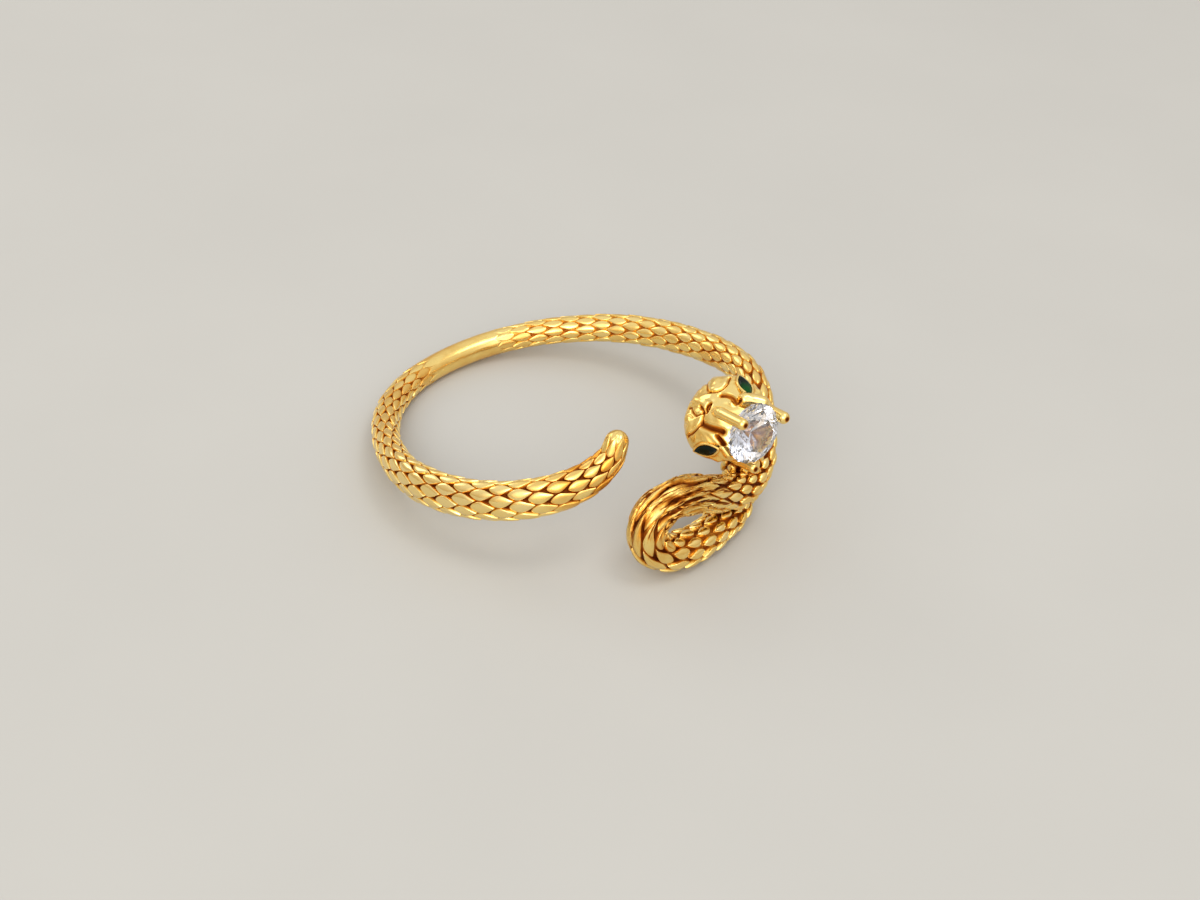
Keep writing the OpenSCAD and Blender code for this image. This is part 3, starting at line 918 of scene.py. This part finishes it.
def eyeInHead(side):
    e = eyeSettings
    return (Matrix.Translation((e["forward"], side * e["out"], e["rise"]))
            @ Matrix.Rotation(math.radians(-side * e["toe"]), 4, "Z")
            @ Matrix.Rotation(math.radians(-side * e["turn"]), 4, "X"))


def modelEyeStone(name, extra=0.0):
    # Marquise cut: keel, girdle, two rows of crown facets and a table
    e = eyeSettings
    levels = [list(level) for level in e["levels"]]
    levels[0][1] -= extra
    levels[-1][1] += extra
    ringSize = 2 * e["pointsAside"]
    points, faces = [], []
    for share, rise in levels:
        for j in range(ringSize):
            x = math.cos(math.pi * j / e["pointsAside"])
            side = 1 if j < e["pointsAside"] else -1
            points.append((x * (e["length"] / 2 * share + extra),
                           side * (1 - x * x) * (e["width"] / 2 * share + extra), rise))
    for i in range(len(levels) - 1):
        for j in range(ringSize):
            a, b = i * ringSize + j, i * ringSize + (j + 1) % ringSize
            faces.append((a, b, b + ringSize, a + ringSize))
    faces.append(tuple(range(ringSize))[::-1])
    faces.append(tuple(range((len(levels) - 1) * ringSize, len(levels) * ringSize)))
    return makeMesh(name, points, faces)


def eyeRim(side):
    # A thin wire round the eye stone
    e = eyeSettings
    count = e["rimPoints"]
    out, aside = e["rimOut"]
    rim = []
    for j in range(count):
        x = math.cos(math.tau * j / count)
        y = (1 - x * x) * (1 if j < count / 2 else -1)
        rim.append((x * (e["length"] / 2 + out), y * (e["width"] / 2 + aside), 0.0))
    curve = bpy.data.curves.new("eyeRim", "CURVE")
    curve.dimensions = "3D"
    curve.bevel_depth = e["rimWire"]
    curve.bevel_resolution = 4
    line = curve.splines.new("POLY")
    line.points.add(len(rim) - 1)
    for point, co in zip(line.points, rim):
        point.co = (*co, 1)
    line.use_cyclic_u = True
    activate(addObject("eyeRim", curve))
    bpy.ops.object.convert(target="MESH")
    piece = bpy.context.object
    piece.data.transform(eyeInHead(side))
    return piece


def cutAway(piece, tool):
    cut = piece.modifiers.new("cut", "BOOLEAN")
    cut.operation = "DIFFERENCE"
    cut.object = tool
    cut.solver = "EXACT"
    applyModifiers(piece)
    bpy.data.objects.remove(tool)


def edgeEnds(piece):
    ends = np.empty(len(piece.data.edges) * 2, dtype=np.int32)
    piece.data.edges.foreach_get("vertices", ends)
    return ends.reshape(-1, 2)


def relaxed(points, ends, rounds):
    # Each round moves every point halfway to the mean of its neighbours
    count = np.bincount(ends.ravel(), minlength=len(points)).astype(float)
    for _ in range(rounds):
        total = np.zeros_like(points)
        for k in range(3):
            total[:, k] = (np.bincount(ends[:, 0], weights=points[ends[:, 1], k], minlength=len(points))
                           + np.bincount(ends[:, 1], weights=points[ends[:, 0], k], minlength=len(points)))
        points = (points + total / np.maximum(count, 1)[:, None]) / 2
    return points


def pointNormals(piece):
    normals = np.empty(len(piece.data.vertices) * 3)
    piece.data.vertices.foreach_get("normal", normals)
    return normals.reshape(-1, 3)


def distanceToLine(points, line):
    nearest = np.full(len(points), 1e9)
    for a, b in zip(line[:-1], line[1:]):
        a, b = np.array(a), np.array(b)
        share = np.clip(((points - a) @ (b - a)) / ((b - a) @ (b - a)), 0, 1)
        nearest = np.minimum(nearest, np.linalg.norm(points - a - share[:, None] * (b - a), axis=1))
    return nearest


def engraving(points, normals, s):
    # How deep the strokes go at each point: negative where they raise the metal
    facing = np.clip(normals[:, 2] / s["strokeFacing"], 0, 1)
    sunk = np.zeros(len(points))
    for line, halfWidth, depth in headStrokes.values():
        near = np.clip(distanceToLine(points[:, :2], smoothCurve(line, steps=6)) / halfWidth, 0, 1)
        sunk += depth * facing * (1 - near ** 2) ** 2
    return sunk


def fuse(parts, name, voxel, rounds):
    joined = joinPieces(parts, name)
    blend = joined.modifiers.new("fuse", "REMESH")
    blend.mode = "VOXEL"
    blend.voxel_size = voxel
    applyModifiers(joined)
    writePoints(joined, relaxed(readPoints(joined), edgeEnds(joined), rounds))
    return joined


def modelHead(s):
    # The skull is fused and carved, the prongs and the eyes' wires join it, and the seats are cut last
    skullParts = [modelSkull(s)] + [modelBar(*bar) for bar in skullBars.values()]
    skull = fuse(skullParts, "skull", s["voxel"], s["smoothing"])
    points = readPoints(skull)
    normals = pointNormals(skull)
    sunk = engraving(points, normals, s)
    x, y, z = points.T
    sunk += s["unevenness"] * np.sin(8 * x + 2 * np.sin(5 * y)) * np.sin(9 * y + 2 * np.sin(7 * z + 4 * x))
    writePoints(skull, points - normals * sunk[:, None])
    print("skull carved", len(skull.data.polygons))
    headParts = [skull, modelBar(*prongBase), *modelProngs(), eyeRim(1), eyeRim(-1)]
    head = fuse(headParts, "snakeHead", s["voxel"], s["finish"])
    seat = modelRoundStone("seat", stoneSettings["gap"])
    seat.data.transform(stoneInHead)
    cutAway(head, seat)
    for side in (1, -1):
        socket = modelEyeStone("socket", eyeSettings["gap"])
        socket.data.transform(eyeInHead(side))
        cutAway(head, socket)
    return head


def darkenHead(head, s):
    # Paints shade and dark patina into the hollows and the strokes, paints shade across the head, darker on
    # its right side, and sinks a dimple painted dark as a reflection into each prong's end
    points = readPoints(head)
    normals = pointNormals(head)
    smooth = relaxed(points, edgeEnds(head), s["cavityRounds"])
    cavity = ((smooth - points) * normals).sum(1) / s["cavityDepth"]
    below = points[:, 2] < upperRise - s["belowProng"]
    strokes = engraving(points, normals, s) / s["strokeDepth"] * below
    # painted reflection: a dark spot at each prong's end
    spots = np.zeros(len(points))
    for turn, reach, over, _, width in prongSettings.values():
        end = np.array([stoneSettings["forward"] + over + width / 2 - s["spotInset"],
                        *prongLine(turn, reach)])
        away = np.linalg.norm(points - end, axis=1) / s["spotRadius"]
        spots = np.maximum(spots, 1 - np.clip(away, 0, 1) ** 2)
    writePoints(head, points - (s["spotDepth"], 0, 0) * spots[:, None])
    # painted shade in the hollows and the strokes
    shade = np.clip(cavity, 0, 1) * s["cavityShade"]
    shade += np.clip(strokes, 0, 1) ** s["strokeForm"] * s["strokeShade"]
    paint(head, "shadeAndPatina", shade + spots + np.interp(points[:, 1], s["sideShadeAcross"], s["sideShade"]))


head = modelHead(headSettings)
darkenHead(head, headSettings)
seatPiece(head, headFrame, gold, "gold", "snake_casting")
activate(head)
bpy.ops.object.shade_smooth_by_angle(angle=math.radians(headSettings["smoothAngle"]))
print("head modelled", len(head.data.polygons))


# Stones

clearStone = modelRoundStone("clearStone")
seatPiece(clearStone, headFrame @ stoneInHead, clearCrystal, "clear_stone", "clear_stone")

# Name, side, share of the painted light that the stone shows, and the solid that it replaces
eyeStones = (
    ("leftEye", 1, 0.85, "left_eye_stone"),
    ("rightEye", -1, 0.15, "right_eye_stone"),
)
middleGlow, frontGlow, tipFade = eyeSettings["paintedGlow"]
for name, side, glow, node in eyeStones:
    eye = modelEyeStone(name)
    forwards = readPoints(eye)[:, 0] / (eyeSettings["length"] / 2)
    # painted light: brighter towards the front tip, strong in the left eye and faint in the right
    paint(eye, "paintedGlow", (middleGlow + frontGlow * forwards - np.abs(forwards) ** tipFade) * glow)
    seatPiece(eye, headFrame @ eyeInHead(side), greenCrystal, "green_stone", node)
print("stones set")


# Floor, light and camera

floorSettings = {
    "size": 0.6,
    "colour": (0.505, 0.497, 0.462),
    "roughness": 0.75,
    "mottleSize": 60,
    "mottle": (0.96, 1.04),
}


def makeFloor(s):
    deselectAll()
    bpy.ops.mesh.primitive_plane_add(size=s["size"], location=(0, 0, 0))
    floor = bpy.context.object
    floor.name = "floor"
    material, tree, shader = newMaterial("paleFloor")
    shader.inputs["Roughness"].default_value = s["roughness"]
    where = addNode(tree, "ShaderNodeTexCoord", (-900, 0)).outputs["Object"]
    mottle = addNoise(tree, (-700, 0), where, Scale=s["mottleSize"], Detail=4)
    mix = addNode(tree, "ShaderNodeMix", (-400, 0))
    mix.data_type = "RGBA"
    for side, factor in zip("AB", s["mottle"]):
        mix.inputs[side].default_value = (*[c * factor for c in s["colour"]], 1)
    tree.links.new(mottle, mix.inputs["Factor"])
    tree.links.new(mix.outputs["Result"], shader.inputs["Base Color"])
    floor.data.materials.append(material)


# Columns: place in mm, size in mm, power in W, colour
softLights = {
    "window": ((-140, 110, 95), 90, 0.04, (1.0, 0.985, 0.96)),
    "ceiling": ((60, -20, 190), 70, 0.06, (1.0, 0.98, 0.95)),
    "front": ((-60, -170, 120), 80, 0.09, (1.0, 0.985, 0.96)),
}
surroundings = {
    # share of the way up from straight down, and the colour there: ground, walls and ceiling
    "tones": (
        (0.45, (0.42, 0.33, 0.23)),
        (0.56, (0.62, 0.51, 0.37)),
        (0.88, (0.86, 0.87, 0.90)),
    ),
    "windowTowards": (-0.15, -0.87, 0.47),  # the bright side, behind the camera
    "windowEdge": (0.62, 0.95),
    "strength": (1.0, 2.35),    # away from the bright side, and on it
}


def makeLights():
    for name, (place, size, power, colour) in softLights.items():
        lamp = bpy.data.lights.new(name, "AREA")
        lamp.shape = "SQUARE"
        lamp.size = size * mm
        lamp.energy = power
        lamp.color = colour
        holder = addObject(name, lamp)
        holder.location = Vector(place) * mm
        holder.rotation_euler = (-Vector(place)).to_track_quat("-Z", "Y").to_euler()


def makeWorld(s):
    world = bpy.data.worlds.new("studio")
    world.use_nodes = True
    tree = world.node_tree
    sky = tree.nodes["Background"]
    where = addNode(tree, "ShaderNodeTexCoord", (-1100, 0)).outputs["Generated"]
    parts = addNode(tree, "ShaderNodeSeparateXYZ", (-900, 100))
    tree.links.new(where, parts.inputs["Vector"])
    rise = addRange(tree, (-700, 100), parts.outputs["Z"], (-1.0, 1.0), (0.0, 1.0))
    towards = addNode(tree, "ShaderNodeVectorMath", (-900, -150))
    towards.operation = "DOT_PRODUCT"
    towards.inputs[1].default_value = s["windowTowards"]
    tree.links.new(where, towards.inputs[0])
    window = addRange(tree, (-700, -150), towards.outputs["Value"], s["windowEdge"], s["strength"])
    window.node.interpolation_type = "SMOOTHSTEP"
    tree.links.new(addRamp(tree, (-500, 100), rise, s["tones"]), sky.inputs["Color"])
    tree.links.new(window, sky.inputs["Strength"])
    bpy.context.scene.world = world
    bpy.context.scene.view_settings.view_transform = "Standard"


cameraSettings = {
    "place": (-7.27, -75.28, 58.77),
    "aim": (1.655, 0.465, 0.0),
    "roll": 3.81,
    "lens": 54.54,
    "sensor": 36,
    "clip": (0.001, 10),    # m
}


def makeCamera(s):
    data = bpy.data.cameras.new("photoView")
    data.lens = s["lens"]
    data.sensor_width = s["sensor"]
    data.clip_start, data.clip_end = s["clip"]
    camera = addObject("photoView", data)
    place, aim = Vector(s["place"]) * mm, Vector(s["aim"]) * mm
    camera.location = place
    camera.rotation_mode = "QUATERNION"
    roll = Quaternion((0, 0, 1), math.radians(s["roll"]))
    camera.rotation_quaternion = (aim - place).to_track_quat("-Z", "Y") @ roll
    bpy.context.scene.camera = camera


makeFloor(floorSettings)
makeLights()
makeWorld(surroundings)
makeCamera(cameraSettings)
print("stage set")
